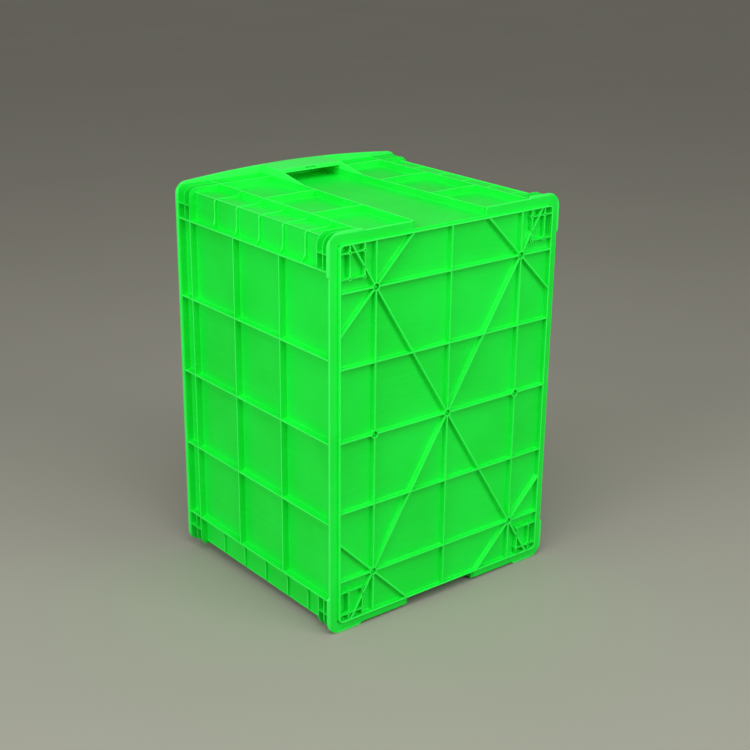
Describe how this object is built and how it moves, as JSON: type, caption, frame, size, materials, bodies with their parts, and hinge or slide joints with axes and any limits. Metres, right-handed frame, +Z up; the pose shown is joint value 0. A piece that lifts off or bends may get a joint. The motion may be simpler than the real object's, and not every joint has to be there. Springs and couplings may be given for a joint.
{
  "type": "storage crate",
  "caption": "Rigid rectangular stacking crate in ribbed moulded plastic, open on one face, with a hooded hand-hold at each end and a stacking foot on its underside.",
  "frame": {"origin": "on the surface that the crate stands on when set on one end, under the middle of its width and height", "axes": "+Z up, along the crate's length; +X across its width; +Y from the ribbed underside to the open mouth"},
  "size_m": [0.43, 0.393, 0.62],
  "materials": {
    "green_plastic": "saturated green polypropylene, semi-matt, with a fine moulded grain"
  },
  "bodies": {
    "root": {"base_panel": "green_plastic", "stacking_foot": "green_plastic", "base_flange": "green_plastic", "rim": "green_plastic", "side_wall_left": "green_plastic", "side_wall_right": "green_plastic", "end_wall_lower": "green_plastic", "end_wall_upper": "green_plastic", "hand_hold_lower": "green_plastic", "hand_hold_upper": "green_plastic", "corner_post_lower_left": "green_plastic", "corner_post_lower_right": "green_plastic", "corner_post_upper_left": "green_plastic", "corner_post_upper_right": "green_plastic"}
  },
  "joints": []
}
